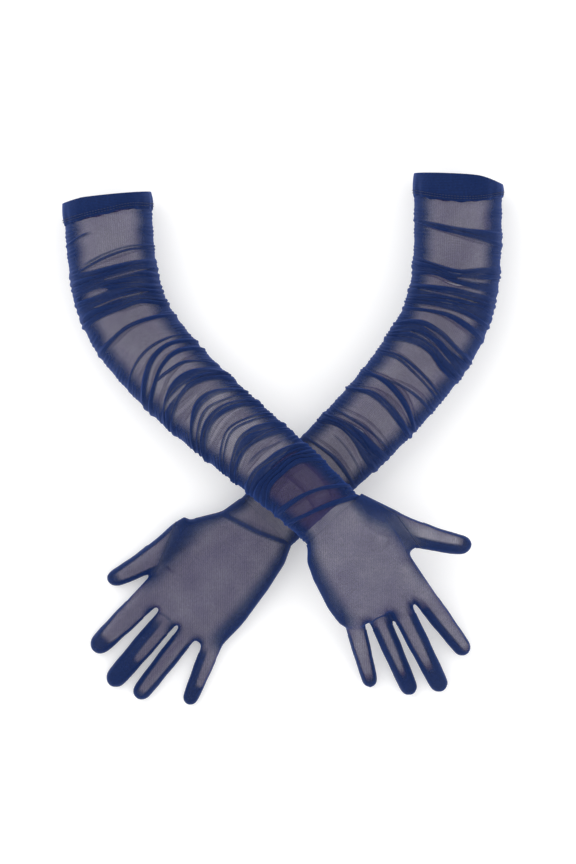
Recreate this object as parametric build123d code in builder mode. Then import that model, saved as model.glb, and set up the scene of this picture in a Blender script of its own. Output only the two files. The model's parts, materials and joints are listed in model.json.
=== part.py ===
"""A pair of sheer ruched opera gloves, laid down in their worn, filled-out shape.

The left glove lies flat on the table and the right glove crosses over its wrist. Each
glove is a doubled cuff hem, two sleeve panels joined by gathered side seams, two hand
panels and five sewn finger stalls. Every piece is hollow, as cloth round an arm is.
The sleeve is parted at the elbow and the wrist, and each stall at its root, where the
cloth bends. Millimetres, +Z up, table at Z = 0, origin under the middle of the pair.
"""

from build123d import *
from math import cos, radians, sin, sqrt
import os

os.makedirs("parts", exist_ok=True)

# Thickness of the gathered cloth, the hem and the smooth hand
SLEEVE_WALL = 2.2
HEM_WALL = 2.6
HAND_WALL = 1.5
STALL_WALL = 1.3

# Girth of the filled sleeve, as width across the arm and thickness off the table
CUFF_SIZE = (84, 80)
ELBOW_SIZE = (82, 76)
WRIST_SIZE = (67, 43)

# Half the parting between the back and palm of the hand at their stitched seam
SEAM_SPLIT = 0.1

# Side seams: height of the gathering tape, how far it stands proud of the cloth, and the
# parting between each of its edges and the panel sewn to it
TAPE_HEIGHT = 4.0
TAPE_PROUD = 1.2
TAPE_SPLIT = 0.2

# How many sections each length of cloth is lofted through
HEM_SECTIONS = 2
UPPER_SECTIONS = 4
FOREARM_SECTIONS = 5

# Hand outline: (share of the hand's length, ulnar half, radial half, thickness)
HAND_SECTIONS = ((-0.1, 32, 31, 43), (0.4, 42, 44, 34), (0.75, 43.5, 48, 28), (1.0, 43.5, 47, 24))

# How far each joint closes, in degrees: (towards the palm or the crook, the other way)
ELBOW_RANGE = (40, 42)
WRIST_RANGE = (45, 30)

# Half the clear space at a parted elbow or wrist
JOINT_GAP = 0.5

# How far the palm side of a stall's root slopes back, in degrees
KNUCKLE_BEVEL = 28

# Space cut from the hand for the thumb: how far behind the thumb's hinge it starts, its
# clearance beside the stall, and a size that reaches past the hand on every side
THUMB_SETBACK = 8.0
THUMB_CLEARANCE = 1.5
THUMB_ROOM_SIZE = 160

# A stall is this share of its width thick
STALL_FLATNESS = 0.82

# Where a stall tapers, as shares of its shaft's length and of its taper
SHAFT_STATION = (0.55, 0.45)

# A stall's rounded tip: its length as a share of the tip's width, the shares of that length
# at which it is drawn, and the share that is solid cloth
TIP_ROUND = 0.6
TIP_STATIONS = (0, 0.45, 0.8, 0.95, 0.995)
TIP_SOLID = 0.3

# Where each glove lies: points are (x, y, height of the middle), headings in degrees.
# thumb_side is +1 where the thumb is on the left of the arm's direction, seen from above.
# A stall is (root x, y, height), (tip x, y, height), root width, tip width.
POSTURES = {
    "left": {
        "thumb_side": -1,
        "hem_width": 27,
        "cuff": (162, 239, 40),
        "elbow": (142, 92, 38),
        "wrist": (-14, -78, 21.5),
        "knuckles": (-87, -163, 12.5),
        "cuff_heading": -93,
        "elbow_heading": -121,
        "wrist_heading": -135,
        "knuckle_skew": 8,
        "stalls": {
            "thumb": ((-93, -92, 15), (-158, -129, 9), 27, 17),
            "index": ((-125, -149, 11), (-169, -199, 9), 22.5, 18),
            "middle": ((-104, -165, 11), (-153, -231, 9), 20.5, 18),
            "ring": ((-84, -177, 11), (-128, -242, 8.5), 19, 16),
            "little": ((-63, -189, 10), (-84, -246, 7.5), 18, 13),
        },
    },
    "right": {
        "thumb_side": 1,
        "hem_width": 18,
        "cuff": (-160, 220, 40),
        "elbow": (-134, 96, 39),
        "wrist": (47, -76, 80),
        "knuckles": (91, -149, 47),
        "cuff_heading": -84,
        "elbow_heading": -55,
        "wrist_heading": -47,
        "knuckle_skew": 8,
        "stalls": {
            "thumb": ((99, -79, 60), (173, -100, 38), 26, 16),
            "index": ((128, -143, 41), (168, -200, 10), 21, 15),
            "middle": ((108, -154, 42.5), (145, -234, 10), 20.5, 16),
            "ring": ((87, -161, 41), (117, -237, 9), 19, 15),
            "little": ((66, -167, 40), (81, -229, 8), 18.5, 13),
        },
    },
}


def flat_direction(heading):
    """The level direction at this heading."""
    return Vector(cos(radians(heading)), sin(radians(heading)), 0)


def left_of(direction):
    """The level direction to the left of a direction of travel, seen from above."""
    return Vector(-direction.Y, direction.X, 0).normalized()


def cross_plane(origin, direction):
    """The plane across a direction of travel: x to its left, y towards the back."""
    return Plane(origin=origin, x_dir=left_of(direction), z_dir=direction)


def turned(direction, axis, angle):
    """A direction turned about an axis direction."""
    return direction.rotate(Axis((0, 0, 0), axis), angle)


def joint_planes(pivot, outward, axis, closing_ahead, closing_behind):
    """The two planes that part a piece at a hinge so that it can close either way."""
    for angle in (closing_ahead / 2, -closing_behind / 2):
        normal = turned(outward, axis, angle)
        yield Plane(origin=Vector(*pivot) + normal * JOINT_GAP, z_dir=normal)


def palm_side_plane(pivot, direction):
    """The plane that bevels the palm side of a stall's root, so that it can curl."""
    normal = turned(direction, left_of(direction), -KNUCKLE_BEVEL)
    return Plane(origin=pivot, z_dir=normal)


def blend_size(start, end, share):
    """Width and thickness part of the way between two sections."""
    return tuple(a + (b - a) * share for a, b in zip(start, end))


def half_ring(width, thickness, wall, side):
    """Half of an elliptical ring, above (+1) or below (-1) the side seams."""
    Ellipse(width / 2, thickness / 2)
    Ellipse(width / 2 - wall, thickness / 2 - wall, mode=Mode.SUBTRACT)
    cut = thickness + TAPE_HEIGHT
    edge = TAPE_HEIGHT / 2 + TAPE_SPLIT
    with Locations((0, side * (edge - cut / 2))):
        Rectangle(2 * width, cut, mode=Mode.SUBTRACT)


def sleeve_sections(line, size_start, size_end, first, last, count):
    """Planes and sizes evenly spaced along part of a sleeve's centreline."""
    for step in range(count):
        share = first + (last - first) * step / (count - 1)
        plane = cross_plane(line.position_at(share), line.tangent_at(share))
        yield plane, blend_size(size_start, size_end, share)


def save(piece, name):
    """Label a finished piece and write it."""
    piece.part.label = name
    export_step(piece.part, f"parts/{name}.step")


def make_sleeve_panel(name, sections, side, cuts):
    """One lofted cloth panel of a sleeve, parted at its joint."""
    with BuildPart() as panel:
        for plane, (width, thickness) in sections:
            with BuildSketch(plane):
                half_ring(width, thickness, SLEEVE_WALL, side)
        loft()
        for cut in cuts:
            split(bisect_by=cut, keep=Keep.TOP)
    save(panel, name)


def make_gathering_tapes(name, sections, cuts):
    """The two gathered side seams of a sleeve segment, as a group of two strips."""
    strips = []
    for side in (-1, 1):
        with BuildPart() as strip:
            for plane, (width, _) in sections:
                with BuildSketch(plane):
                    with Locations((side * (width / 2 - SLEEVE_WALL / 2 + TAPE_PROUD / 2), 0)):
                        Rectangle(SLEEVE_WALL + TAPE_PROUD, TAPE_HEIGHT)
            loft()
            for cut in cuts:
                split(bisect_by=cut, keep=Keep.TOP)
        strips.append(strip.part)
    with BuildPart() as tapes:
        add(strips)
    save(tapes, name)


def make_cuff_hem(name, sections):
    """The doubled band at the cuff mouth."""
    with BuildPart() as hem:
        for plane, (width, thickness) in sections:
            with BuildSketch(plane):
                Ellipse(width / 2, thickness / 2)
                Ellipse(width / 2 - HEM_WALL, thickness / 2 - HEM_WALL, mode=Mode.SUBTRACT)
        loft()
    save(hem, name)


def stall_profile(length, root_width, tip_width):
    """Stations along a stall from its root: (distance, width), closing at a round tip."""
    tip_length = TIP_ROUND * tip_width
    shoulder = length - tip_length
    shaft_share, taper_share = SHAFT_STATION
    shaft_width = root_width + (tip_width - root_width) * taper_share
    stations = [(0, root_width), (shoulder * shaft_share, shaft_width)]
    for share in TIP_STATIONS:
        stations.append((shoulder + tip_length * share, tip_width * sqrt(1 - share**2)))
    return stations


def make_stall(name, root, tip, root_width, tip_width):
    """A hollow finger or thumb stall, open at its root and free to flex there."""
    root, tip = Vector(*root), Vector(*tip)
    direction = (tip - root).normalized()
    length = (tip - root).length
    outer = stall_profile(length, root_width, tip_width)
    hollow_end = length - TIP_ROUND * TIP_SOLID * tip_width
    inner = [(distance, width) for distance, width in outer if distance < hollow_end]
    with BuildPart() as stall:
        for distance, width in outer:
            with BuildSketch(cross_plane(root + direction * distance, direction)):
                Ellipse(width / 2, width * STALL_FLATNESS / 2)
        loft(ruled=True)
        for distance, width in inner:
            with BuildSketch(cross_plane(root + direction * distance, direction)):
                Ellipse(width / 2 - STALL_WALL, width * STALL_FLATNESS / 2 - STALL_WALL)
        loft(ruled=True, mode=Mode.SUBTRACT)
        split(bisect_by=palm_side_plane(root, direction), keep=Keep.TOP)
    save(stall, name)


def hand_sections(wrist, knuckles, thumb_side, skew):
    """Planes and sizes across the hand, the last one skewed along the knuckles."""
    direction = (knuckles - wrist).normalized()
    for share, ulnar, radial, thickness in HAND_SECTIONS:
        facing = turned(direction, Vector(0, 0, 1), -thumb_side * skew * share)
        plane = cross_plane(wrist + (knuckles - wrist) * share, facing)
        yield plane, thumb_side * (radial - ulnar) / 2, ulnar + radial, thickness


def make_hand_panel(name, sections, side, cuts, thumb_room):
    """The back or palm panel of the hand, parted at the wrist and open at the thumb."""
    with BuildPart() as panel:
        for plane, shift, width, thickness in sections:
            with BuildSketch(plane):
                with Locations((shift, 0)):
                    Ellipse(width / 2, thickness / 2)
                    Ellipse(width / 2 - HAND_WALL, thickness / 2 - HAND_WALL, mode=Mode.SUBTRACT)
                with Locations((shift, side * (SEAM_SPLIT - thickness))):
                    Rectangle(2 * width, 2 * thickness, mode=Mode.SUBTRACT)
        loft()
        for cut in cuts:
            split(bisect_by=cut, keep=Keep.TOP)
        add(thumb_room, mode=Mode.SUBTRACT)
    save(panel, name)


def make_thumb_room(root, tip, root_width, thumb_side):
    """The space the thumb stall needs at the side of the hand."""
    root, tip = Vector(*root), Vector(*tip)
    heading = Vector(tip.X - root.X, tip.Y - root.Y, 0).normalized()
    size = THUMB_ROOM_SIZE
    inner_edge = root_width / 2 + THUMB_CLEARANCE
    centre = root + heading * (size / 2 - THUMB_SETBACK)
    centre += left_of(heading) * thumb_side * (size / 2 - inner_edge)
    with BuildPart() as room:
        with BuildSketch(Plane(origin=centre, x_dir=heading, z_dir=(0, 0, 1))):
            Rectangle(size, size)
        extrude(amount=size, both=True)
    return room.part


def make_glove(hand, posture):
    """All the pieces of one glove."""
    thumb_side = posture["thumb_side"]
    cuff, elbow = Vector(*posture["cuff"]), Vector(*posture["elbow"])
    wrist, knuckles = Vector(*posture["wrist"]), Vector(*posture["knuckles"])
    elbow_direction = flat_direction(posture["elbow_heading"])
    wrist_direction = flat_direction(posture["wrist_heading"])
    cuff_direction = flat_direction(posture["cuff_heading"])
    upper_line = Spline(cuff, elbow, tangents=[cuff_direction, elbow_direction])
    forearm_line = Spline(elbow, wrist, tangents=[elbow_direction, wrist_direction])

    crook_axis = Vector(0, 0, thumb_side)
    flex_axis = left_of(wrist_direction)
    crook, straight = ELBOW_RANGE
    upper_cuts = list(joint_planes(elbow, -elbow_direction, crook_axis, crook, straight))
    forearm_cuts = list(joint_planes(elbow, elbow_direction, crook_axis, straight, crook))
    flex, extend = WRIST_RANGE
    forearm_cuts += joint_planes(wrist, -wrist_direction, flex_axis, flex, extend)
    hand_cuts = list(joint_planes(wrist, wrist_direction, flex_axis, extend, flex))

    hem_share = posture["hem_width"] / upper_line.length
    ends = CUFF_SIZE, ELBOW_SIZE
    hem = list(sleeve_sections(upper_line, *ends, 0, hem_share, HEM_SECTIONS))
    upper = list(sleeve_sections(upper_line, *ends, hem_share, 1, UPPER_SECTIONS))
    ends = ELBOW_SIZE, WRIST_SIZE
    forearm = list(sleeve_sections(forearm_line, *ends, 0, 1, FOREARM_SECTIONS))

    make_cuff_hem(f"{hand}_cuff_hem", hem)
    for part_name, side in (("back", 1), ("inner", -1)):
        make_sleeve_panel(f"{hand}_upper_{part_name}_panel", upper, side, upper_cuts)
        make_sleeve_panel(f"{hand}_forearm_{part_name}_panel", forearm, side, forearm_cuts)
    make_gathering_tapes(f"{hand}_upper_gathering_tapes", upper, upper_cuts)
    make_gathering_tapes(f"{hand}_forearm_gathering_tapes", forearm, forearm_cuts)

    stalls = posture["stalls"]
    thumb_room = make_thumb_room(*stalls["thumb"][:3], thumb_side)
    sections = list(hand_sections(wrist, knuckles, thumb_side, posture["knuckle_skew"]))
    make_hand_panel(f"{hand}_hand_back", sections, 1, hand_cuts, thumb_room)
    make_hand_panel(f"{hand}_hand_palm", sections, -1, hand_cuts, thumb_room)
    for finger, (root, tip, root_width, tip_width) in stalls.items():
        make_stall(f"{hand}_{finger}_stall", root, tip, root_width, tip_width)


for hand, posture in POSTURES.items():
    make_glove(hand, posture)
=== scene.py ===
"""A pair of sheer ruched opera gloves, the right one lying across the left one's wrist."""

import json
import math

import bmesh
import bpy
import numpy as np
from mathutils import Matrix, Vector
from mathutils.bvhtree import BVHTree


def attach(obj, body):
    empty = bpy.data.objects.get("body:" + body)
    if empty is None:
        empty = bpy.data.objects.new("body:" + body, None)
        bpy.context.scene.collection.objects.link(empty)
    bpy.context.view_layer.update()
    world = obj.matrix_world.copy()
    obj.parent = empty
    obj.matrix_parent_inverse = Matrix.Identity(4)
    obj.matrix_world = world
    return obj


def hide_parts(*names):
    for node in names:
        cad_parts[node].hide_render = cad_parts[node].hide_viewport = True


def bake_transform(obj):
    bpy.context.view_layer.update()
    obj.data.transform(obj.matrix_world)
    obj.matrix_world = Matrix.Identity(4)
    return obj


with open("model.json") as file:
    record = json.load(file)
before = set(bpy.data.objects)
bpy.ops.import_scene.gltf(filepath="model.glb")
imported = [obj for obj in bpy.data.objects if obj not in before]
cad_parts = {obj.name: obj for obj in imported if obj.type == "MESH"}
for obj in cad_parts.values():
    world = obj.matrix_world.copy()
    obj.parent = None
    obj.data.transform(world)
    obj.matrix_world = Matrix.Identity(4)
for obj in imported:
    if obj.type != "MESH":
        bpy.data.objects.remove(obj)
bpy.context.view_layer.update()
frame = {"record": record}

# Lengths in this file are in millimetres, and a mesh is scaled to metres as it is made.
METRE = 0.001
JOINTS = {joint["name"]: joint for joint in frame["record"]["behaviour"]["joints"]}
MOUNTS = {mount["name"]: mount for mount in frame["record"]["mounts"]}

# ------------------------------------------------------------------ design of the two gloves
THUMB_SIDE = {"left": -1, "right": 1}
ELBOW_HEADING = {"left": -121, "right": -55}
CUFF_HALF = (42, 40)
ELBOW_HALF = (41, 38)
WRIST_HALF = (33.5, 21.5)
SLEEVE_INSET = 2.0
KNUCKLE_SETBACK = 9

# Places across a sleeve, from its left edge to its right edge seen from above.
ACROSS = (-1, -0.5, 0, 0.5, 1)
HEM = {
    "right": ((3, 0, 0, 0, 0), (24, 20, 17, 14, 15)),
    "left": ((0, 0, 0, 1, 7), (19, 23, 25, 24, 19)),
}
# A band of folds: where it starts and ends down the sleeve, its depth of colour, its folds.
BANDS = {
    "right": (
        ((66, 66, 64, 62, 62), (109, 106, 106, 108, 126), 1.0, 9),
        ((208, 197, 192, 197, 213), (222, 212, 209, 215, 232), 1.0, 3),
        ((243, 229, 221, 226, 243), (246, 234, 229, 233, 247), 1.0, 1),
        ((254, 242, 239, 244, 257), (261, 251, 248, 254, 267), 1.0, 2),
        ((286, 278, 273, 277, 289), (294, 288, 287, 294, 304), 1.0, 3),
        ((303, 301, 304, 308, 316), (333, 324, 325, 329, 343), 1.0, 5),
    ),
    "left": (
        ((39, 44, 48, 50, 51), (42, 50, 55, 60, 66), 1.0, 2),
        ((75, 82, 86, 83, 80), (96, 94, 99, 102, 103), 1.0, 4),
        ((107, 104, 103, 104, 105), (133, 126, 124, 125, 129), 1.0, 5),
        ((159, 144, 144, 149, 153), (182, 170, 167, 173, 176), 1.0, 5),
        ((240, 225, 222, 225, 232), (243, 231, 229, 232, 237), 1.0, 1),
        ((273, 263, 258, 258, 259), (284, 272, 271, 276, 281), 1.0, 3),
    ),
}
# A single fold: where it lies down the sleeve, its width, its colour, how far across it runs.
FOLDS = {
    "right": (
        ((43, 34, 33, 33, 33), 2.4, 0.7, -1.2, -0.45),
        ((70, 62, 55, 51, 52), 1.6, 0.85, -0.8, 1.2),
        ((68, 59, 52, 48, 49), 1.4, 0.6, -0.6, 1.2),
        ((128, 124, 122, 127, 139), 3.4, 0.95, -1.2, 1.2),
        ((166, 156, 152, 155, 164), 2.0, 0.8, -1.2, 1.2),
        ((186, 172, 162, 162, 174), 5.0, 1.0, -1.2, 1.2),
        ((193, 183, 174, 173, 185), 4.0, 1.0, -1.2, 1.2),
        ((180, 180, 182, 187, 206), 2.5, 0.85, -0.4, 1.2),
        ((250, 239, 234, 240, 250), 2.2, 0.7, -1.2, 1.2),
        ((277, 266, 261, 267, 277), 1.8, 0.8, -1.2, 1.2),
        ((280, 270, 265, 271, 281), 1.8, 0.75, -1.2, 1.2),
        ((298, 295, 296, 302, 308), 1.5, 0.35, -0.35, 0.7),
        ((341, 345, 350, 358, 370), 3.6, 0.95, -1.2, 1.2),
        ((353, 361, 367, 374, 382), 3.6, 0.95, -1.2, 1.2),
    ),
    "left": (
        ((140, 132, 129, 132, 137), 3.6, 0.95, -1.2, 1.2),
        ((192, 184, 184, 187, 193), 1.8, 0.85, -1.2, 1.2),
        ((195, 187, 188, 191, 196), 1.8, 0.8, -1.2, 1.2),
        ((216, 210, 204, 203, 207), 1.8, 0.7, -1.2, 1.2),
        ((219, 211, 211, 217, 228), 4.0, 1.0, -1.2, 1.2),
        ((264, 258, 254, 253, 256), 1.6, 0.7, -1.2, 1.2),
        ((289, 280, 279, 283, 290), 1.5, 0.35, -0.4, 0.8),
        ((302, 297, 294, 296, 301), 3.0, 0.85, -1.2, 1.2),
        ((322, 317, 315, 318, 324), 3.2, 0.9, -1.2, 1.2),
        ((343, 338, 336, 339, 345), 2.6, 0.8, -1.2, 1.2),
    ),
}
# A sheer lens inside a band: where it lies, its half width, how far across it runs.
LENSES = {
    "right": (
        ((88, 85, 84, 84, 84), 2.2, -0.85, -0.15),
        ((76, 76, 75, 73, 72), 0.9, -0.2, 0.9),
        ((97, 96, 95, 96, 99), 0.8, -0.6, 0.7),
        ((207, 203, 203, 203, 203), 1.8, -0.7, 0.1),
        ((318, 314, 314, 317, 324), 1.0, -0.1, 0.9),
    ),
    "left": (
        ((94, 94, 94, 94, 93), 1.6, 0.0, 1.1),
        ((149, 149, 150, 154, 157), 1.3, -0.4, 1.0),
        ((112, 111, 111, 112, 113), 0.7, -0.8, 0.6),
        ((166, 159, 158, 163, 166), 0.8, -0.6, 0.6),
    ),
}
SEAM_FOLD_PITCH = 3.6
# Flattens the folds where one glove lies on the other.
CROSSING_RELIEF = 0.45
# The upper sleeve meets the forearm sleeve this far past the elbow, clear of its bend.
SPLIT_PAST_ELBOW = 42
HEM_STITCHES = 96

# finger: reach, width at the root, width at the tip, height of the tip above the table, how
# far it swings from square to its joint in degrees, and its sheer strip: middle and half
# width across the finger (+ is towards the thumb), reach.
FINGERS = {
    "left": {
        "thumb": (79, 28, 14, 8.5, 2, 0.0, 0.66, 0.88),
        "index": (68.6, 23, 18, 8, -4, 0.0, 0.80, 0.78),
        "middle": (84, 20.5, 18, 8, -4, -0.38, 0.40, 0.62),
        "ring": (81, 18.6, 16, 7.5, -4, 0.0, 0.56, 0.92),
        "little": (62.7, 18, 13, 6.5, -2, -0.38, 0.52, 0.70),
    },
    "right": {
        "thumb": (78, 26, 16, 38, 0, 0.35, 0.50, 0.88),
        "index": (71.6, 21, 15, 9, 2, 0.35, 0.55, 0.95),
        "middle": (90, 20.5, 16, 9, 2, -0.15, 0.46, 0.72),
        "ring": (83.5, 19, 15, 8, 2, 0.0, 0.36, 0.75),
        "little": (65.8, 18.5, 13, 7, 1.5, 0.0, 0.68, 0.87),
    },
}
LONG_FINGERS = ("index", "middle", "ring", "little")
# Share of the way from wrist to knuckles, half width to the thumb side and to the other,
# height.
HAND_SECTIONS = {
    "left": ((-0.2, 31, 31, 40), (0.0, 31.9, 31.8, 39.6), (0.14, 35, 39, 38), (0.4, 41, 43.5, 33),
             (0.75, 42.5, 46, 28), (1.0, 42, 44, 23), (1.1, 36, 38, 17)),
    "right": ((-0.2, 31, 31, 40), (0.0, 31.9, 32.5, 39.6), (0.14, 35, 43, 38), (0.4, 41, 47, 33),
              (0.75, 42.5, 48, 28), (1.0, 42, 45, 23), (1.1, 36, 38, 17)),
}
# How far the middle line of a thumb bows away from its straight line, towards the fingers.
THUMB_BOW = 2.6
# A stall starts this far past the middle of its joint, at the web between two fingers.
WEB_DEPTH = 11
# The thumb's muscle starts this far short of the thumb's root.
THUMB_BASE = 48
WRIST_LAP = -0.4
# The fold that slants over the back of the left hand: its place, slope and half width.
HAND_FOLD = {"left": (10, 11, 2.4)}
# The finger that has a seam over the back of its root.
BASE_SEAM = {"left": "middle", "right": "ring"}
# How far out along the thumb the web to the index finger reaches.
THUMB_CROTCH = {"left": 33, "right": 35}


# ------------------------------------------------------------------ small tools
# A direction that no cord in the scene follows, to start its round section from.
OFF_AXIS = (0.31, 0.17, 0.94)


def unit(vector):
    return vector / np.linalg.norm(vector)


def place_of(entry):
    return np.array(entry["pos_m"]) / METRE


def heading_of(joint_name):
    """The way a part points, square to its flexing axis, which lies flat."""
    axis = JOINTS[joint_name]["axis"]
    return unit(np.array((axis[1], -axis[0], 0.0)))


def swung(heading, degrees):
    turn = math.atan2(heading[1], heading[0]) + math.radians(degrees)
    return np.array((math.cos(turn), math.sin(turn), 0.0))


def smoothstep(value, low, high):
    share = np.clip((value - low) / (high - low), 0, 1)
    return share * share * (3 - 2 * share)


def ease_across(values, across):
    """A smooth curve through five values spread across a sleeve."""
    knots = np.array(ACROSS, float)
    values = np.array(values, float)
    slopes = np.gradient(values, knots)
    x = np.clip(across, -1, 1)
    k = np.clip(((x + 1) / 0.5).astype(int), 0, 3)
    t = (x - knots[k]) / 0.5
    a, b = values[k], values[k + 1]
    sa, sb = slopes[k] * 0.5, slopes[k + 1] * 0.5
    return ((2 * t**3 - 3 * t**2 + 1) * a + (t**3 - 2 * t**2 + t) * sa
            + (-2 * t**3 + 3 * t**2) * b + (t**3 - t**2) * sb)


def hermite(start, end, start_way, end_way, count):
    t = np.linspace(0, 1, count)[:, None]
    span = np.linalg.norm(end - start)
    return ((2 * t**3 - 3 * t**2 + 1) * start + (t**3 - 2 * t**2 + t) * span * start_way
            + (-2 * t**3 + 3 * t**2) * end + (t**3 - t**2) * span * end_way)


def new_piece(name, points, faces, gather_and_painted_shade=None, uv=None, normals=None):
    mesh = bpy.data.meshes.new(name)
    mesh.from_pydata((np.asarray(points) * METRE).tolist(), [], [tuple(f) for f in faces])
    mesh.polygons.foreach_set("use_smooth", [True] * len(mesh.polygons))
    attribute = mesh.attributes.new("gather_and_painted_shade", "FLOAT", "POINT")
    if gather_and_painted_shade is not None:
        attribute.data.foreach_set("value", np.asarray(gather_and_painted_shade, np.float32).ravel())
    if uv is not None:
        layer = mesh.uv_layers.new(name="knit")
        corners = np.zeros(len(mesh.loops), np.int32)
        mesh.loops.foreach_get("vertex_index", corners)
        layer.data.foreach_set("uv", np.asarray(uv, np.float32)[corners].ravel())
    mesh.update()
    if normals is not None:
        mesh.normals_split_custom_set_from_vertices(normals)
    piece = bpy.data.objects.new(name, mesh)
    bpy.context.scene.collection.objects.link(piece)
    return piece


def quads(index):
    """The faces between neighbours in a table of vertex numbers."""
    corners = [index[:-1, :-1], index[1:, :-1], index[1:, 1:], index[:-1, 1:]]
    return np.stack(corners, -1).reshape(-1, 4)


def grid_faces(rows, cols):
    return quads(np.arange(rows * cols).reshape(rows, cols))


def tube(points, radius, sides=6):
    """Points and faces of a round cord through the points given."""
    points = np.asarray(points, float)
    ways = np.gradient(points, axis=0)
    ways /= np.linalg.norm(ways, axis=1)[:, None] + 1e-9
    out = []
    for point, way in zip(points, ways):
        first = unit(np.cross(way, OFF_AXIS))
        second = np.cross(way, first)
        for k in range(sides):
            angle = 2 * math.pi * k / sides
            out.append(point + radius * (math.cos(angle) * first + math.sin(angle) * second))
    faces = []
    for i in range(len(points) - 1):
        for k in range(sides):
            n = (k + 1) % sides
            faces.append((i * sides + k, i * sides + n, (i + 1) * sides + n, (i + 1) * sides + k))
    faces.append(tuple(range(sides))[::-1])
    faces.append(tuple((len(points) - 1) * sides + k for k in range(sides)))
    return out, faces


def joined(shapes):
    points, faces = [], []
    for some, theirs in shapes:
        base = len(points)
        points.extend(some)
        faces.extend(tuple(i + base for i in face) for face in theirs)
    return points, faces


# ------------------------------------------------------------------ materials
def material(name, sheer, dense, edge, open_share, shut_share, rough, pitch, uv):
    """Knitted mesh cloth: it lets light through where it is stretched, and less where it is
    gathered, and less the more its layer is seen edge on."""
    made = bpy.data.materials.new(name)
    made.use_nodes = True
    nodes, links = made.node_tree.nodes, made.node_tree.links
    shader = nodes["Principled BSDF"]
    shader.inputs["Sheen Weight"].default_value = 0.12
    shader.inputs["Sheen Roughness"].default_value = 0.4
    shader.inputs["Sheen Tint"].default_value = (0.12, 0.25, 1.0, 1)
    shader.inputs["Specular IOR Level"].default_value = 0.1

    def add(kind, **values):
        node = nodes.new(kind)
        for key, value in values.items():
            setattr(node, key, value)
        return node

    def math_node(operation, first, second=None, third=None):
        node = add("ShaderNodeMath", operation=operation)
        for socket, value in zip(node.inputs, (first, second, third)):
            if value is None:
                continue
            if isinstance(value, (int, float)):
                socket.default_value = value
            else:
                links.new(value, socket)
        return node.outputs[0]

    def mixed(factor, first, second):
        node = add("ShaderNodeMix", data_type="RGBA")
        links.new(factor, node.inputs["Factor"])
        for socket, value in ((node.inputs[6], first), (node.inputs[7], second)):
            if isinstance(value, tuple):
                socket.default_value = (*value, 1)
            else:
                links.new(value, socket)
        return node.outputs[2]

    gather_and_painted_shade = add("ShaderNodeAttribute", attribute_name="gather_and_painted_shade").outputs["Fac"]
    if uv:
        where = add("ShaderNodeUVMap", uv_map="knit").outputs[0]
    else:
        where = add("ShaderNodeTexCoord").outputs["Object"]
    size = 1.0 if uv else 1 / METRE
    across = add("ShaderNodeTexWave", wave_type="BANDS", bands_direction="X", wave_profile="SIN")
    across.inputs["Scale"].default_value = size * 0.314 / pitch
    across.inputs["Distortion"].default_value = 0.6
    along = add("ShaderNodeTexWave", wave_type="BANDS", bands_direction="Y", wave_profile="SIN")
    along.inputs["Scale"].default_value = size * 0.314 / (pitch * 1.25)
    along.inputs["Distortion"].default_value = 0.6
    cloud = add("ShaderNodeTexNoise")
    cloud.inputs["Scale"].default_value = size * 0.035
    cloud.inputs["Detail"].default_value = 4
    for texture in (across, along, cloud):
        links.new(where, texture.inputs["Vector"])
    knit = math_node("MULTIPLY", across.outputs["Fac"], along.outputs["Fac"])
    facing = add("ShaderNodeLayerWeight")
    facing.inputs["Blend"].default_value = 0.5
    slant = math_node("MAXIMUM", math_node("SUBTRACT", 1.0, facing.outputs["Facing"]), 0.1)
    speck = add("ShaderNodeTexNoise")
    speck.inputs["Scale"].default_value = size * 0.5
    speck.inputs["Detail"].default_value = 3
    links.new(where, speck.inputs["Vector"])
    cloudy = math_node("MULTIPLY_ADD", cloud.outputs["Fac"], 0.3, -0.15)
    layer = math_node("MULTIPLY_ADD", gather_and_painted_shade, shut_share - open_share, open_share)
    mottled = math_node("MULTIPLY_ADD", speck.outputs["Fac"], 0.16, -0.08)
    layer = math_node("ADD", layer, math_node("MULTIPLY_ADD", cloudy, 1.1, mottled))
    layer = math_node("MAXIMUM", layer, shut_share)
    let_through = math_node("POWER", layer, math_node("DIVIDE", 1.0, slant))
    rib = add("ShaderNodeTexWave", wave_type="BANDS", bands_direction="X", wave_profile="SIN")
    rib.inputs["Scale"].default_value = size * 0.314 / 2.0
    rib.inputs["Distortion"].default_value = 1.2
    rib.inputs["Detail"].default_value = 1
    links.new(where, rib.inputs["Vector"])
    weave = math_node("MULTIPLY_ADD", knit, 0.30, -0.10)
    weave = math_node("MULTIPLY_ADD", rib.outputs["Fac"], 0.14, weave)
    covered = math_node("SUBTRACT", 1.0, let_through)
    alpha = math_node("SUBTRACT", covered, math_node("MULTIPLY", weave, let_through))
    links.new(alpha, shader.inputs["Alpha"])
    # The colour goes from sheer to dense with the gather attribute, which on the hands also holds
    # painted shade towards their outline.
    colour = mixed(math_node("MINIMUM", math_node("MULTIPLY", gather_and_painted_shade, 2.4), 1.0), sheer, dense)
    # Painted sheen: the colour turns towards the edge colour the more the cloth is seen edge on.
    painted_sheen_share = math_node("POWER", facing.outputs["Facing"], 2.2)
    colour = mixed(painted_sheen_share, colour, edge)
    shade = math_node("MULTIPLY_ADD", knit, 0.7, 0.35)
    shade = math_node("MULTIPLY_ADD", speck.outputs["Fac"], 1.0, shade)
    tone = add("ShaderNodeVectorMath", operation="SCALE")
    links.new(colour, tone.inputs[0])
    links.new(shade, tone.inputs["Scale"])
    links.new(tone.outputs[0], shader.inputs["Base Color"])
    roughness = math_node("MULTIPLY_ADD", cloud.outputs["Fac"], 0.25, rough - 0.12)
    links.new(roughness, shader.inputs["Roughness"])
    bump = add("ShaderNodeBump")
    bump.inputs["Strength"].default_value = 0.35
    bump.inputs["Distance"].default_value = 0.00025
    links.new(knit, bump.inputs["Height"])
    links.new(bump.outputs[0], shader.inputs["Normal"])
    return made


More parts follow.
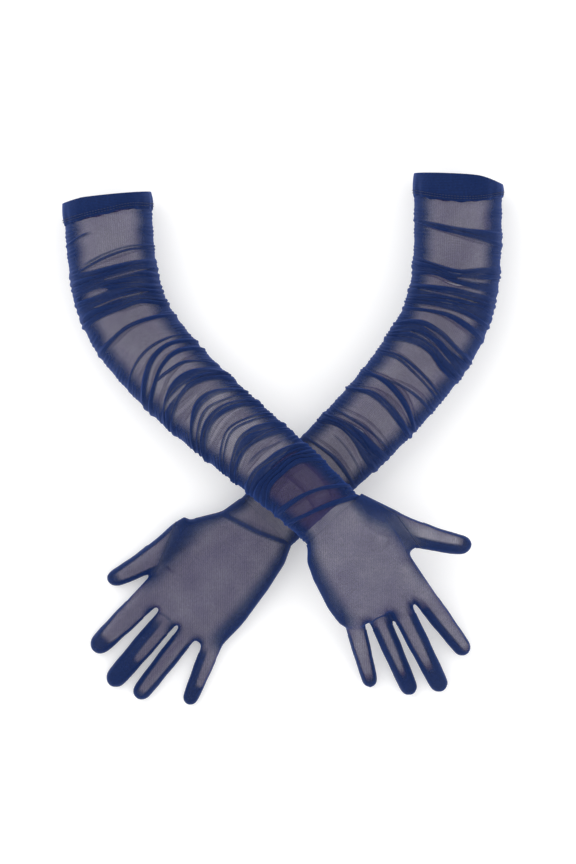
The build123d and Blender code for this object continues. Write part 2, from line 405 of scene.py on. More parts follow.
def thread_material(name, colour):
    made = bpy.data.materials.new(name)
    made.use_nodes = True
    nodes, links = made.node_tree.nodes, made.node_tree.links
    shader = nodes["Principled BSDF"]
    shader.inputs["Sheen Weight"].default_value = 0.05
    where = nodes.new("ShaderNodeTexCoord").outputs["Object"]
    twist = nodes.new("ShaderNodeTexWave")
    twist.bands_direction = "DIAGONAL"
    twist.inputs["Scale"].default_value = 400
    links.new(where, twist.inputs["Vector"])
    blend = nodes.new("ShaderNodeMix")
    blend.data_type = "RGBA"
    blend.inputs[6].default_value = (*[c * 0.7 for c in colour], 1)
    blend.inputs[7].default_value = (*[min(1, c * 1.5) for c in colour], 1)
    links.new(twist.outputs["Fac"], blend.inputs["Factor"])
    links.new(blend.outputs[2], shader.inputs["Base Color"])
    rough = nodes.new("ShaderNodeMapRange")
    rough.inputs["To Min"].default_value = 0.5
    rough.inputs["To Max"].default_value = 0.75
    links.new(twist.outputs["Fac"], rough.inputs["Value"])
    links.new(rough.outputs[0], shader.inputs["Roughness"])
    bump = nodes.new("ShaderNodeBump")
    bump.inputs["Strength"].default_value = 0.5
    bump.inputs["Distance"].default_value = 0.0002
    links.new(twist.outputs["Fac"], bump.inputs["Height"])
    links.new(bump.outputs[0], shader.inputs["Normal"])
    return made


SHEER = (0.052, 0.040, 0.110)
DENSE = (0.0045, 0.016, 0.075)
# A painted sheen: the brighter blue that the cloth is given where it is seen edge on.
PAINTED_EDGE_SHEEN = (0.010, 0.040, 0.185)
MATERIALS = {
    "ruched_mesh": material("ruched_mesh", SHEER, DENSE, PAINTED_EDGE_SHEEN, 0.525, 0.012, 0.6, 0.9, True),
    "smooth_mesh": material("smooth_mesh", SHEER, DENSE, PAINTED_EDGE_SHEEN, 0.49, 0.02, 0.55, 0.9, False),
    "stall_mesh": material("stall_mesh", SHEER, DENSE, PAINTED_EDGE_SHEEN, 0.49, 0.02, 0.55, 0.9, False),
    "hem_band": material("hem_band", DENSE, DENSE, PAINTED_EDGE_SHEEN, 0.05, 0.01, 0.65, 1.1, True),
    "gathering_tape": material("gathering_tape", DENSE, DENSE, PAINTED_EDGE_SHEEN, 0.1, 0.02, 0.6, 0.8, True),
}
THREAD = thread_material("seam_thread", (0.006, 0.014, 0.060))


def finish_piece(piece, slot, node=None):
    piece.data.materials.append(MATERIALS[slot])
    if node:
        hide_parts(node)


# ------------------------------------------------------------------ sleeves
class Sleeve:
    """The line down the middle of a sleeve, and its oval section all the way along."""

    def __init__(self, hand):
        self.hand = hand
        cuff = MOUNTS[f"{hand}_cuff_mouth"]
        elbow = place_of(JOINTS[f"{hand}_elbow_bend"])
        wrist = place_of(JOINTS[f"{hand}_wrist_flex"])
        turn = math.radians(ELBOW_HEADING[hand])
        elbow_way = np.array((math.cos(turn), math.sin(turn), 0))
        wrist_way = heading_of(f"{hand}_wrist_flex")
        upper = hermite(place_of(cuff), elbow, -np.array(cuff["axis"]), elbow_way, 200)
        forearm = hermite(elbow, wrist, elbow_way, wrist_way, 300)
        beyond = wrist + wrist_way * np.linspace(1, 30, 20)[:, None]
        line = np.vstack([upper, forearm[1:], beyond])
        self.s = np.concatenate([[0], np.cumsum(np.linalg.norm(np.diff(line, axis=0), axis=1))])
        self.elbow_s, self.wrist_s = self.s[199], self.s[498]
        self.line = line
        self.way = np.gradient(line, self.s, axis=0)
        self.way /= np.linalg.norm(self.way, axis=1)[:, None]
        stations = (0, self.elbow_s, self.wrist_s)
        sizes = zip(CUFF_HALF, ELBOW_HALF, WRIST_HALF)
        self.half = [np.interp(self.s, stations, three) for three in sizes]
        self.elbow, self.wrist, self.elbow_way, self.wrist_way = elbow, wrist, elbow_way, wrist_way

    def surface(self, s, angle, lift):
        point = np.stack([np.interp(s, self.s, self.line[:, k]) for k in range(3)], -1)
        way = np.stack([np.interp(s, self.s, self.way[:, k]) for k in range(3)], -1)
        side = np.stack([-way[..., 1], way[..., 0], np.zeros_like(s)], -1)
        side /= np.linalg.norm(side, axis=-1)[..., None]
        up = np.cross(way, side)
        half_width = np.interp(s, self.s, self.half[0]) - SLEEVE_INSET + lift
        half_height = np.interp(s, self.s, self.half[1]) - SLEEVE_INSET + lift
        return (point + side * (half_width * np.cos(angle))[..., None]
                + up * (half_height * np.sin(angle))[..., None])

    def relief(self, s, across, under):
        """How proud the folds stand, how gathered the cloth is, and a coordinate down the cloth."""
        height = np.zeros_like(s)
        gather_and_painted_shade = np.zeros_like(s)
        anchors = []
        for k, (start, end, depth, count) in enumerate(BANDS[self.hand]):
            a, b = ease_across(start, across), ease_across(end, across)
            a = a + 1.5 * np.sin(3.1 * across + k) * under
            b = b + 1.5 * np.sin(2.7 * across + 2 * k) * under
            share = (s - a) / np.maximum(b - a, 2.5)
            inside = smoothstep(s, a - 1.0, a + 1.4) * (1 - smoothstep(s, b - 1.4, b + 1.0))
            inner = np.clip(share, 0, 1)
            waver = 0.32 * np.sin(2.3 * across + 5.5 * inner + 1.7 * k)
            waver = waver + 0.16 * np.sin(6.1 * across - 9 * inner + k)
            waver = waver * min(1, (count - 1) / 2) * np.sin(math.pi * inner)
            wave = np.abs(np.sin(math.pi * (count * inner + waver)))
            swell = 0.72 + 0.28 * np.sin(3.3 * across + 2.1 * count * inner + k)
            phase = 2.7 * count * inner + 1.1 * across + 0.4 * np.sin(5 * across + k)
            fine = np.abs(np.sin(math.pi * phase))
            height = np.maximum(height, inside * (0.5 + 2.7 * swell * wave**1.2 + 0.35 * fine))
            gather_and_painted_shade = np.maximum(gather_and_painted_shade, depth * inside * (0.66 + 0.26 * wave * swell + 0.10 * fine))
            anchors.extend([a, b])
        for k, (middle, width, depth, left, right) in enumerate(FOLDS[self.hand]):
            centre = ease_across(middle, across) + 1.2 * np.sin(2.9 * across + k) * under
            reach = (smoothstep(across, left - 0.12, left + 0.12)
                     * (1 - smoothstep(across, right - 0.12, right + 0.12)))
            width = width * (1 + 0.22 * np.sin(3.4 * across + 1.9 * k))
            ridge = np.exp(-(((s - centre) / (0.5 * width)) ** 2)) * reach
            height = np.maximum(height, ridge * (0.9 + 0.42 * width))
            crisp = 1 - smoothstep(np.abs(s - centre), 0.38 * width, 0.62 * width + 0.5)
            gather_and_painted_shade = np.maximum(gather_and_painted_shade, depth * crisp * reach)
            anchors.append(centre)
        for middle, half, left, right in LENSES[self.hand]:
            centre = ease_across(middle, across)
            middle_x, half_x = 0.5 * (left + right), 0.5 * (right - left)
            taper = np.sqrt(np.clip(1 - ((across - middle_x) / half_x) ** 2, 0, 1))
            away = smoothstep(np.abs(s - centre), 0.5 * half * taper, 1.3 * half * taper + 0.3)
            lens = (1 - away) * (taper > 0)
            height = height * (1 - 0.75 * lens)
            gather_and_painted_shade = gather_and_painted_shade * (1 - 0.85 * lens)
        down = self.cloth_coordinate(s, across, anchors)
        edge = smoothstep(np.abs(across), 0.46, 0.93)
        height = height * (1 - 0.4 * smoothstep(np.abs(across), 0.8, 1.0))
        wave = np.abs(np.sin(math.pi * down / SEAM_FOLD_PITCH + 0.7 * np.sin(0.11 * down)))
        strength = 0.6 + 0.4 * np.sin(0.37 * down + 1.3)
        height = height + edge**2 * wave * 1.0 * strength * (1 - 0.5 * gather_and_painted_shade)
        gather_and_painted_shade = gather_and_painted_shade * (1 - 0.6 * smoothstep(under, 0.2, 0.6))
        gather_and_painted_shade = np.maximum(gather_and_painted_shade, edge * (0.5 + 0.35 * wave * strength))
        ripple = 0.5 + 0.5 * np.sin(2 * math.pi * down / 5.3 + 2 * np.sin(0.07 * down))
        faint = smoothstep(np.abs(across), 0.15, 0.8) * ripple
        gather_and_painted_shade = np.maximum(gather_and_painted_shade, 0.2 * faint**2)
        gather_and_painted_shade = np.maximum(gather_and_painted_shade, 0.13 * smoothstep(s, self.wrist_s - 26, self.wrist_s))
        if self.hand == "right":
            height = np.where(under > 0, height * CROSSING_RELIEF, height)
        else:
            near = smoothstep(s, 270, 300)
            height = height * (1 - (1 - CROSSING_RELIEF) * near)
        return height, np.clip(gather_and_painted_shade, 0, 1), down

    def cloth_coordinate(self, s, across, anchors):
        """Distance down the sleeve counted along the side seam, so that it follows the folds."""
        order = np.argsort([a.mean() for a in anchors])
        apart = 0.01 * np.arange(len(order))[:, None, None]
        here = np.maximum.accumulate(np.stack([anchors[k] for k in order]) + apart, axis=0)
        lines = self.anchor_values(order)
        first, last = [
            np.maximum.accumulate([ease_across(values, np.array([edge]))[0] for values in lines])
            for edge in (-1.0, 1.0)
        ]
        down = np.zeros_like(s)
        ends = (-40.0, 460.0)
        for column in range(s.shape[1]):
            knots = np.concatenate([[ends[0]], here[:, 0, column], [ends[1]]])
            share = 0.5 * (1 + across[0, column])
            values = np.concatenate([[ends[0]], first * (1 - share) + last * share, [ends[1]]])
            down[:, column] = np.interp(s[:, column], knots, values)
        return down

    def anchor_values(self, order):
        values = []
        for start, end, _, _ in BANDS[self.hand]:
            values.extend([start, end])
        values.extend(fold[0] for fold in FOLDS[self.hand])
        return [values[k] for k in order]

    def panel(self, name, top, bottom, under, rows, cols, lift=0.0):
        """Half of the sleeve round, from the line top to the line bottom."""
        angles = np.linspace(0, math.pi, cols) * (-1 if under else 1)
        if not under:
            angles = angles[::-1]
        across = np.broadcast_to(np.cos(angles), (rows, cols)).copy()
        share = np.linspace(0, 1, rows)[:, None]
        a, b = top(across), bottom(across)
        s = a + (b - a) * share
        angle = np.broadcast_to(angles, (rows, cols))
        height, gather_and_painted_shade, down = self.relief(s, across, float(under) * np.abs(np.sin(angle)))
        points = self.surface(s, angle, height + lift)
        uv = np.stack([angle * 40, down], -1).reshape(-1, 2)
        return new_piece(name, points.reshape(-1, 3), grid_faces(rows, cols), gather_and_painted_shade, uv)


def level(value):
    return lambda across: np.full_like(across, value)


def make_sleeve(hand):
    sleeve = Sleeve(hand)
    hem_bottom = HEM[hand][1]
    split = sleeve.elbow_s + SPLIT_PAST_ELBOW
    end = sleeve.wrist_s + WRIST_LAP

    def under_hem(across):
        return ease_across(hem_bottom, across) - 6

    for side, under in (("back", False), ("inner", True)):
        piece = sleeve.panel(f"{hand}_upper_{side}", under_hem, level(split), under, 240, 96)
        finish_piece(piece, "ruched_mesh", f"{hand}_upper_{side}_panel")
        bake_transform(piece)
        piece = sleeve.panel(f"{hand}_forearm_{side}", level(split), level(end), under, 330, 96)
        finish_piece(piece, "ruched_mesh", f"{hand}_forearm_{side}_panel")
        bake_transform(piece)
    make_hem(sleeve)
    for part, start, stop in (("upper", 12, split), ("forearm", split, end)):
        shapes = []
        uvs = []
        for angle in (0.0, math.pi):
            count = int((stop - start) / 0.8)
            s = np.linspace(start, stop, count)[:, None] * np.ones((1, 5))
            wide = np.linspace(-2.5, 2.5, 5)[None, :] * np.ones((count, 1))
            ruffle = 0.55 * np.sin(2 * math.pi * s / SEAM_FOLD_PITCH + 0.35 * wide)
            ruffle = ruffle + 0.2 * np.sin(s * 0.9)
            bent = angle + wide / np.interp(s, sleeve.s, sleeve.half[1])
            points = sleeve.surface(s, bent, ruffle - 1.2)
            shapes.append((points.reshape(-1, 3).tolist(), grid_faces(count, 5).tolist()))
            uvs.append(np.stack([wide, s], -1).reshape(-1, 2))
        points, faces = joined(shapes)
        gather_and_painted_shade = np.ones(len(points))
        piece = new_piece(f"{hand}_{part}_tapes", points, faces, gather_and_painted_shade, np.vstack(uvs))
        finish_piece(piece, "gathering_tape", f"{hand}_{part}_gathering_tapes")
        if part == "upper":
            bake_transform(piece)
        else:
            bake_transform(piece)
    return sleeve


def make_hem(sleeve):
    """The doubled band at the mouth of the sleeve, with its row of stitches."""
    hand = sleeve.hand
    top, bottom = HEM[hand]
    cols, rows = 200, 22
    angles = np.linspace(0, 2 * math.pi, cols)
    across = np.broadcast_to(np.cos(angles), (rows, cols)).copy()
    share = np.linspace(0, 1, rows)[:, None]
    a, b = ease_across(top, across), ease_across(bottom, across)
    waver = 0.5 * np.sin(9 * angles) + 0.35 * np.sin(17 * angles + 1)
    behind = 3 * np.clip(-np.sin(angles), 0, 1)
    s = a + (b + waver - behind - a) * share
    angle = np.broadcast_to(angles, (rows, cols))
    belly = 0.9 * np.sin(math.pi * share)
    belly = belly + 0.45 * np.sin(13 * angle + 2) * share + 0.3 * np.sin(23 * angle) * share
    outer = sleeve.surface(s, angle, belly + 1.0)
    inner = sleeve.surface(s, angle, belly * 0.6 - 0.6)
    outer[:, -1], inner[:, -1] = outer[:, 0], inner[:, 0]
    loop = np.concatenate([outer, inner[::-1]], axis=0)
    loop = np.concatenate([loop, loop[:1]], axis=0)
    count = loop.shape[0] - 1
    index = (np.arange(count)[:, None] * (cols - 1) + np.arange(cols - 1)[None, :])
    wrapped = np.vstack([index, index[:1]])
    wrapped = np.hstack([wrapped, wrapped[:, :1]])
    faces = quads(wrapped)
    points = loop[:-1, :-1].reshape(-1, 3)
    rounds = np.concatenate([s, s[::-1]], axis=0)[:, :-1]
    uv = np.stack([np.broadcast_to(angles[:-1] * 40, rounds.shape), rounds], -1).reshape(-1, 2)
    piece = new_piece(f"{hand}_hem", points, faces, np.ones(len(points)), uv)
    finish_piece(piece, "hem_band", f"{hand}_cuff_hem")
    stitches = []
    for k in range(HEM_STITCHES):
        angle = 2 * math.pi * (k + 0.5) / HEM_STITCHES
        x = np.array([math.cos(angle)])
        edge = ease_across(bottom, x)[0] - 3 * max(0, -math.sin(angle))
        run = np.linspace(angle - 0.019, angle + 0.019, 5)
        for inward in (2.6, 4.6):
            lift = 1.4 + 0.35 * np.cos(np.linspace(-1.2, 1.2, 5))
            lift = lift + 0.9 * math.sin(math.pi * (1 - inward / 20))
            line = sleeve.surface(np.full(5, edge - inward), run, lift)
            stitches.append(tube(line, 0.28, 5))
    points, faces = joined(stitches)
    sewn = new_piece(f"{hand}_hem_stitches", points, faces)
    sewn.data.materials.append(THREAD)
    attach(piece, f"{hand}_upper_sleeve")
    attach(sewn, f"{hand}_upper_sleeve")


# ------------------------------------------------------------------ hands
def oval_solid(middles, side, ups, half_widths, half_heights, sides=28):
    """A closed solid of oval rings, with its ends fanned shut."""
    angles = np.linspace(0, 2 * math.pi, sides, endpoint=False)
    points = []
    lefts = side if np.ndim(side) == 2 else [side] * len(middles)
    for middle, left, up, wide, high in zip(middles, lefts, ups, half_widths, half_heights):
        for angle in angles:
            points.append(middle + left * wide * math.cos(angle) + up * high * math.sin(angle))
    count = len(middles)
    faces = []
    for i in range(count - 1):
        for k in range(sides):
            n = (k + 1) % sides
            faces.append((i * sides + k, i * sides + n, (i + 1) * sides + n, (i + 1) * sides + k))
    for ring, middle in ((0, middles[0]), (count - 1, middles[-1])):
        points.append(np.array(middle))
        centre = len(points) - 1
        for k in range(sides):
            n = (k + 1) % sides
            pair = (ring * sides + k, ring * sides + n)
            faces.append((pair[1], pair[0], centre) if ring == 0 else (pair[0], pair[1], centre))
    return points, faces


class Finger:
    """A stall's middle line, widths and sheer strip, laid out from its joint."""

    def __init__(self, hand, name):
        reach, root_width, tip_width, tip_height, swing, *strip = FINGERS[hand][name]
        self.strip, self.strip_half, self.strip_end = strip
        joint = f"{hand}_{name}_flex"
        self.root = place_of(JOINTS[joint])
        flat = swung(heading_of(joint), swing)
        tip = self.root + flat * reach
        tip[2] = tip_height
        self.way = unit(tip - self.root)
        self.reach = np.linalg.norm(tip - self.root)
        self.side = THUMB_SIDE[hand] * np.array((-flat[1], flat[0], 0))
        self.up = np.cross(self.way, self.side) * THUMB_SIDE[hand]
        self.widths = (root_width, tip_width)
        self.bow = THUMB_BOW if name == "thumb" else 0

    def bowed(self, along):
        share = np.clip(along / self.reach, 0, 1)
        return -4 * self.bow * share * (1 - share)

    def half_width(self, along):
        share = np.clip(along / self.reach, -0.5, 1)
        width = self.widths[0] + (self.widths[1] - self.widths[0]) * np.clip(share, 0, 1)
        joints = np.exp(-(((share - 0.42) / 0.09) ** 2))
        joints = joints + 0.7 * np.exp(-(((share - 0.72) / 0.08) ** 2))
        return 0.5 * width * (1 + 0.045 * joints) + 0.5

    def solid(self, back, spread=1.0, palm_half_height=9):
        near_tip = self.reach * (1 - 0.2 * (1 - np.linspace(0, 1, 16)[1:]) ** 2)
        along = np.concatenate([np.linspace(-back, self.reach * 0.8, 30), near_tip])
        half = self.half_width(along)
        tip = self.half_width(np.array([self.reach]))[0] * 1.15
        into_tip = np.clip(along - (self.reach - tip), 0, None) / tip
        closing = np.sqrt(np.clip(1 - into_tip**2, 0.002, 1))
        behind = np.clip(-along / back, 0, 1)
        wide = half * closing * (1 + (spread - 1) * behind)
        high = half * 0.84 * closing * (1 - behind) + palm_half_height * behind
        middles = self.root + self.way * along[:, None] + self.side * self.bowed(along)[:, None]
        return oval_solid(middles, self.side, [self.up] * len(along), wide, high)


def voxel_union(name, shapes, size, smooth_rounds):
    points, faces = joined(shapes)
    piece = new_piece(name, points, faces)
    remesh = piece.modifiers.new("union", "REMESH")
    remesh.mode = "VOXEL"
    remesh.voxel_size = size * METRE
    graph = bpy.context.evaluated_depsgraph_get()
    mesh = bpy.data.meshes.new_from_object(piece.evaluated_get(graph))
    bpy.data.objects.remove(piece)
    co = np.zeros(len(mesh.vertices) * 3)
    mesh.vertices.foreach_get("co", co)
    co = co.reshape(-1, 3)
    edges = np.zeros(len(mesh.edges) * 2, np.int64)
    mesh.edges.foreach_get("vertices", edges)
    edges = edges.reshape(-1, 2)
    degree = np.bincount(edges.ravel(), minlength=len(co))[:, None]
    for _ in range(smooth_rounds):
        total = np.zeros_like(co)
        np.add.at(total, edges[:, 0], co[edges[:, 1]])
        np.add.at(total, edges[:, 1], co[edges[:, 0]])
        co += 0.5 * (total / degree - co)
    mesh.vertices.foreach_set("co", co.ravel())
    mesh.update()
    return mesh


def make_hand(hand, sleeve):
    wrist = sleeve.wrist
    roots = [place_of(JOINTS[f"{hand}_{name}_flex"]) for name in LONG_FINGERS]
    middle = np.mean(roots, axis=0)
    way = unit(middle - wrist)
    knuckles = middle - KNUCKLE_SETBACK * way
    side = THUMB_SIDE[hand] * unit(np.array((-way[1], way[0], 0)))
    up = np.cross(way, side) * THUMB_SIDE[hand]
    length = np.linalg.norm(knuckles - wrist)
    fingers = {name: Finger(hand, name) for name in FINGERS[hand]}

    sections = np.array(HAND_SECTIONS[hand])
    stations = np.linspace(sections[0, 0], sections[-1, 0], 40)
    radial, ulnar, high = (np.interp(stations, sections[:, 0], sections[:, k]) for k in (1, 2, 3))
    arm_side = THUMB_SIDE[hand] * np.array((-sleeve.wrist_way[1], sleeve.wrist_way[0], 0))
    turning = smoothstep(stations, -0.02, 0.5)[:, None]
    sides = arm_side * (1 - turning) + side * turning
    sides /= np.linalg.norm(sides, axis=1)[:, None]
    ups = np.array((0, 0, 1.0)) * (1 - turning) + up * turning
    ups /= np.linalg.norm(ups, axis=1)[:, None]
    line = hermite(wrist, knuckles, sleeve.wrist_way, way, 60)
    even = np.linspace(0, 1, 60)
    middles = np.stack([np.interp(stations, even, line[:, k]) for k in range(3)], -1)
    middles += sleeve.wrist_way * (length * np.minimum(stations, 0))[:, None]
    middles += way * (length * np.maximum(stations - 1, 0))[:, None]
    middles += sides * ((radial - ulnar) / 2)[:, None]
    shapes = [oval_solid(middles, sides, ups, (radial + ulnar) / 2, high / 2, 48)]
    for name in LONG_FINGERS:
        shapes.append(fingers[name].solid(34, 1.15, 10))
    thumb = fingers["thumb"]
    shapes.append(thumb.solid(14, 1.0, 12))
    base = wrist + way * ((thumb.root - wrist) @ way - THUMB_BASE) + side * 13
    line = np.linspace(0, 1.05, 14)[:, None]
    heel = base + (thumb.root - base) * line
    heel_side = unit(np.cross(up, thumb.root - base))
    shapes.append(oval_solid(heel, heel_side, [up] * 14,
                             np.linspace(17, 13.6, 14), np.linspace(15, 12, 14)))
    web_end = thumb.root + thumb.way * (THUMB_CROTCH[hand] - 12) - thumb.side * 6
    web_start = wrist + way * length * 0.62 + side * 20
    line = np.linspace(0, 1, 12)[:, None]
    web_side = unit(np.cross(up, web_end - web_start))
    shapes.append(oval_solid(web_start + (web_end - web_start) * line, web_side, [up] * 12,
                             np.full(12, 11.0), np.linspace(10, 6, 12)))
    mesh = voxel_union(f"{hand}_hand_union", shapes, 1.5, 14)

    work = bmesh.new()
    work.from_mesh(mesh)
    bpy.data.meshes.remove(mesh)

    def cut(point, normal, test):
        near = [face for face in work.faces if test(np.array(face.calc_center_median()) / METRE)]
        parts = set(near)
        for face in near:
            parts.update(face.edges)
            parts.update(face.verts)
        bmesh.ops.bisect_plane(work, geom=list(parts), plane_co=Vector(point * METRE),
                               plane_no=Vector(normal), dist=1e-6)

    wrist_edge = wrist - sleeve.wrist_way * 0.5
    bmesh.ops.bisect_plane(work, geom=work.faces[:] + work.edges[:] + work.verts[:],
                           plane_co=Vector(wrist_edge * METRE),
                           plane_no=Vector(sleeve.wrist_way), clear_inner=True, dist=1e-6)
    planes = {}
    for name, finger in fingers.items():
        if name == "thumb":
            crotch = finger.root + finger.way * THUMB_CROTCH[hand] - finger.side * 13.5
            outer = finger.root + finger.side * 13.5 - finger.way * 4
            normal = unit(np.cross(finger.up, crotch - outer))
            normal = normal * np.sign(normal @ finger.way)
            planes[name] = (crotch + normal * 0.5, normal)
        else:
            planes[name] = (finger.root + finger.way * WEB_DEPTH, finger.way)

    def belongs(name, centre):
        point, normal = planes[name]
        finger = fingers[name]
        offset = centre - finger.root
        lateral = abs(offset @ finger.side)
        if name == "thumb":
            in_reach = -17 < offset @ finger.side < 22 and offset @ finger.way > -12
            return (centre - point) @ normal > 0 and in_reach
        if (centre - point) @ normal <= 0:
            return False
        others = [fingers[other] for other in LONG_FINGERS]
        nearest = min(abs((centre - other.root) @ other.side) for other in others)
        return lateral <= nearest + 1e-9 and (centre - thumb.root) @ thumb.side < -8

    def by_root(name):
        """Tells whether a face is near the plane at a stall's root, and not beside it."""
        point, normal = planes[name]
        finger = fingers[name]
        room = 24 if name == "thumb" else 16
        return lambda centre: (abs((centre - point) @ normal) < 6
                               and abs((centre - finger.root) @ finger.side) < room)

    for name, (point, normal) in planes.items():
        cut(point, normal, by_root(name))
    cut(wrist, up, lambda centre: abs((centre - wrist) @ up) < 4)
    owners = {}
    for face in work.faces:
        centre = np.array(face.calc_center_median()) / METRE
        owner = next((name for name in fingers if belongs(name, centre)), None)
        if owner is None:
            owner = "back" if (centre - wrist) @ up > 0 else "palm"
        owners.setdefault(owner, []).append(face)

    work.normal_update()
    tree = BVHTree.FromBMesh(work)
    pieces = {}
    for owner, faces in owners.items():
        index_of = {}
        points, normals, polygons = [], [], []
        for face in faces:
            row = []
            for vert in face.verts:
                if vert.index not in index_of:
                    index_of[vert.index] = len(points)
                    points.append(np.array(vert.co) / METRE)
                    normals.append(tuple(vert.normal))
                row.append(index_of[vert.index])
            polygons.append(row)
        points = np.array(points)
        gather_and_painted_shade = hand_gather_and_painted_shade(hand, points, fingers, planes["thumb"], wrist, way, side, up, length)
        pieces[owner] = new_piece(f"{hand}_{owner}", points, polygons, gather_and_painted_shade, normals=normals)
    work.free()

    seams = hand_seams(hand, tree, fingers, planes, wrist, way, side, up, length)
    for owner, piece in pieces.items():
        if owner in fingers:
            finger = fingers[owner]
            finish_piece(piece, "stall_mesh", f"{hand}_{owner}_stall")
            start, normal = planes[owner]
            for part in (piece, seams[owner]):
                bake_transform(part)
        else:
            finish_piece(piece, "smooth_mesh", f"{hand}_hand_{owner}")
            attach(piece, f"{hand}_hand")
    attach(seams["sides"], f"{hand}_hand")


def finger_gather(finger, points):
    """Dark doubled cloth down the sides and tip, with a sheer strip left along the finger."""
    offset = points - finger.root
    along = offset @ finger.way
    across = (offset @ finger.side - finger.bowed(along)) / finger.half_width(along)
    share = along / finger.reach
    narrowing = np.sqrt(np.clip(1 - (np.clip(share, 0, 1) / (finger.strip_end + 0.06)) ** 3, 0, 1))
    half = finger.strip_half * (0.3 + 0.7 * narrowing)
    strip = 1 - smoothstep(np.abs(across - finger.strip), half - 0.1, half + 0.14)
    strip = strip * (1 - smoothstep(share, finger.strip_end - 0.07, finger.strip_end + 0.05))
    return 0.8 * (1 - strip)


def hand_gather_and_painted_shade(hand, points, fingers, thumb_plane, wrist, way, side, up, length):
    """Where the smooth cloth of a hand is doubled: its webs, its fingers' sides and its edges,
    which also carry painted shade towards the outline.
    """
    along = (points - wrist) @ way
    across = (points - wrist) @ side
    sections = np.array(HAND_SECTIONS[hand])
    radial, ulnar = (np.interp(along / length, sections[:, 0], sections[:, k]) for k in (1, 2))
    radial = radial + 16 * smoothstep(along, 0, 45)
    edge = np.where(across > 0, across / radial, -across / ulnar)
    past_thumb = (points - thumb_plane[0]) @ thumb_plane[1]
    thumb = fingers["thumb"]
    on_thumb = smoothstep(past_thumb, -9, 7) * ((points - thumb.root) @ thumb.side > -18)
    palm = 1 - np.maximum(on_thumb, smoothstep(along / length, 0.92, 1.12))
    # Painted shade: the cloth darkens towards the hand's outline, on top of the doubled cloth at
    # its side seams.
    gather_and_painted_shade = 0.04 + 0.8 * smoothstep(edge, 0.52, 1.0) * palm
    on_back = smoothstep((points - wrist) @ up, -2, 2)
    if hand in HAND_FOLD:
        place, slope, half = HAND_FOLD[hand]
        away = np.abs(along - place - slope * across / np.where(across > 0, 40, 32))
        crisp = 1 - smoothstep(away, 0.6 * half, 1.5 * half)
        gather_and_painted_shade = np.maximum(gather_and_painted_shade, 0.9 * crisp * (0.3 + 0.7 * on_back))
    for a, b in zip(LONG_FINGERS[:-1], LONG_FINGERS[1:]):
        middle = 0.5 * (fingers[a].root + fingers[b].root)
        web = middle + 0.5 * (fingers[a].way + fingers[b].way) * 8
        distance = np.linalg.norm((points - web) * (1, 1, 0.4), axis=1)
        gather_and_painted_shade = np.maximum(gather_and_painted_shade, 0.8 * np.exp(-((distance / 6.5) ** 2)))
    rows = [fingers[name] for name in LONG_FINGERS]
    gaps = np.stack([np.abs((points - finger.root) @ finger.side) for finger in rows])
    nearest = gaps.argmin(axis=0)
    for k, name in enumerate(LONG_FINGERS):
        finger = fingers[name]
        mine = (nearest == k) * (1 - on_thumb)
        out = (points - finger.root) @ finger.way
        gather_and_painted_shade = np.maximum(gather_and_painted_shade, finger_gather(finger, points) * smoothstep(out, 2, 20) * mine)
        if name == BASE_SEAM[hand]:
            wide = (points - finger.root) @ finger.side / finger.half_width(out)
            line = 1 - smoothstep(np.abs(out - 1 - 3.0 * wide**2), 0.4, 1.3)
            dark = 0.85 if hand == "right" else 0.45
            gather_and_painted_shade = np.maximum(gather_and_painted_shade, dark * line * (np.abs(wide) < 1.2) * on_back * mine)
    gather_and_painted_shade = np.maximum(gather_and_painted_shade, finger_gather(thumb, points) * on_thumb)
    return np.clip(gather_and_painted_shade, 0, 1)


def seam_tube(places):
    """A seam through the places where the cloth was found."""
    return tube(np.array([place for place in places if place is not None]), 0.42)


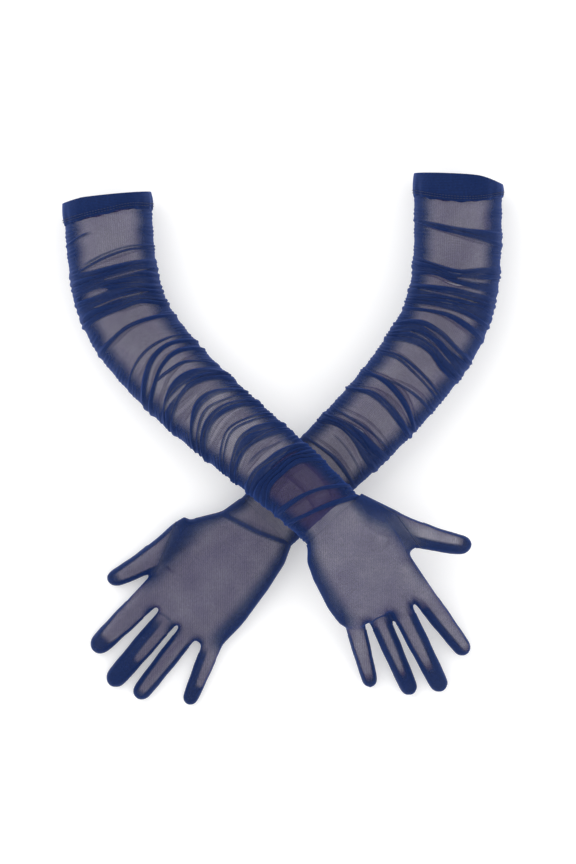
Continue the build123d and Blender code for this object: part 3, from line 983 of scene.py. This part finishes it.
def hand_seams(hand, tree, fingers, planes, wrist, way, side, up, length):
    def hit(origin, direction, reach=60):
        found = tree.ray_cast(Vector(origin * METRE), Vector(direction), reach * METRE)
        return None if found[0] is None else np.array(found[0]) / METRE

    seams = {}
    for name, finger in fingers.items():
        start = 14 if name != "thumb" else 30
        path = []
        runs = np.linspace(start, finger.reach - finger.widths[1] * 0.55, 26)
        for sign in (1, -1):
            order = runs if sign > 0 else runs[::-1]
            line = [hit(finger.root + finger.way * out, sign * finger.side, 20) for out in order]
            if sign > 0:
                path += line
                for angle in np.linspace(0, math.pi, 13)[1:-1]:
                    turn = math.cos(angle) * finger.side + math.sin(angle) * finger.way
                    path.append(hit(finger.root + finger.way * runs[-1], turn, 25))
            else:
                path += line
        seam = new_piece(f"{hand}_{name}_seam", *joined([seam_tube(path)]))
        seam.data.materials.append(THREAD)
        seams[name] = seam
    shapes = []
    line = [hit(wrist + way * a, -side, 70) for a in np.linspace(-6, length * 0.98, 40)]
    shapes.append(seam_tube(line))
    line = [hit(wrist + way * a, side, 70) for a in np.linspace(-6, length * 0.36, 18)]
    shapes.append(seam_tube(line))
    thumb = fingers["thumb"]
    point, normal = planes["thumb"]
    centre = thumb.root + thumb.way * (((point - thumb.root) @ normal) / (thumb.way @ normal))
    flat = unit(np.cross(up, normal))
    ring = []
    for angle in np.linspace(0, math.pi, 40):
        turn = math.cos(angle) * flat + math.sin(angle) * up
        p = hit(centre, turn, 26)
        if p is not None:
            ring.append(p)
    if len(ring) > 4:
        shapes.append(tube(np.array(ring), 0.4))
    seam = new_piece(f"{hand}_side_seams", *joined(shapes))
    seam.data.materials.append(THREAD)
    seams["sides"] = seam
    return seams


# ------------------------------------------------------------------ the scene
def make_stage():
    half, level_z = 4.0, -0.0005
    corners = [(x * half, y * half, level_z) for x, y in ((-1, -1), (1, -1), (1, 1), (-1, 1))]
    floor = bpy.data.meshes.new("floor")
    floor.from_pydata(corners, [], [(0, 1, 2, 3)])
    stage = bpy.data.objects.new("floor", floor)
    bpy.context.scene.collection.objects.link(stage)
    paper = bpy.data.materials.new("paper")
    paper.use_nodes = True
    shader = paper.node_tree.nodes["Principled BSDF"]
    shader.inputs["Base Color"].default_value = (0.9, 0.9, 0.9, 1)
    shader.inputs["Roughness"].default_value = 0.9
    shader.inputs["Specular IOR Level"].default_value = 0.1
    shader.inputs["Emission Color"].default_value = (1, 1, 1, 1)
    shader.inputs["Emission Strength"].default_value = 0.2
    floor.materials.append(paper)

    world = bpy.data.worlds.new("studio")
    bpy.context.scene.world = world
    world.use_nodes = True
    world.node_tree.nodes["Background"].inputs["Color"].default_value = (1, 1, 1, 1)
    world.node_tree.nodes["Background"].inputs["Strength"].default_value = 0.95
    lamps = (("key", (-1.2, 1.3, 2.4), 2.4, 26), ("fill", (1.5, -0.8, 2.6), 2.8, 16))
    for name, place, size, energy in lamps:
        lamp = bpy.data.lights.new(name, "AREA")
        lamp.size = size
        lamp.energy = energy
        item = bpy.data.objects.new(name, lamp)
        item.location = place
        item.rotation_euler = (-Vector(place)).to_track_quat("-Z", "Y").to_euler()
        bpy.context.scene.collection.objects.link(item)

    bpy.context.scene.view_settings.view_transform = "Standard"
    camera = bpy.data.cameras.new("camera")
    camera.lens = 200
    camera.sensor_width = 36
    camera.clip_end = 20
    view = bpy.data.objects.new("camera", camera)
    view.location = (0.00595, 0.0046, 4.43)
    bpy.context.scene.collection.objects.link(view)
    bpy.context.scene.camera = view


make_stage()
for hand in THUMB_SIDE:
    make_hand(hand, make_sleeve(hand))
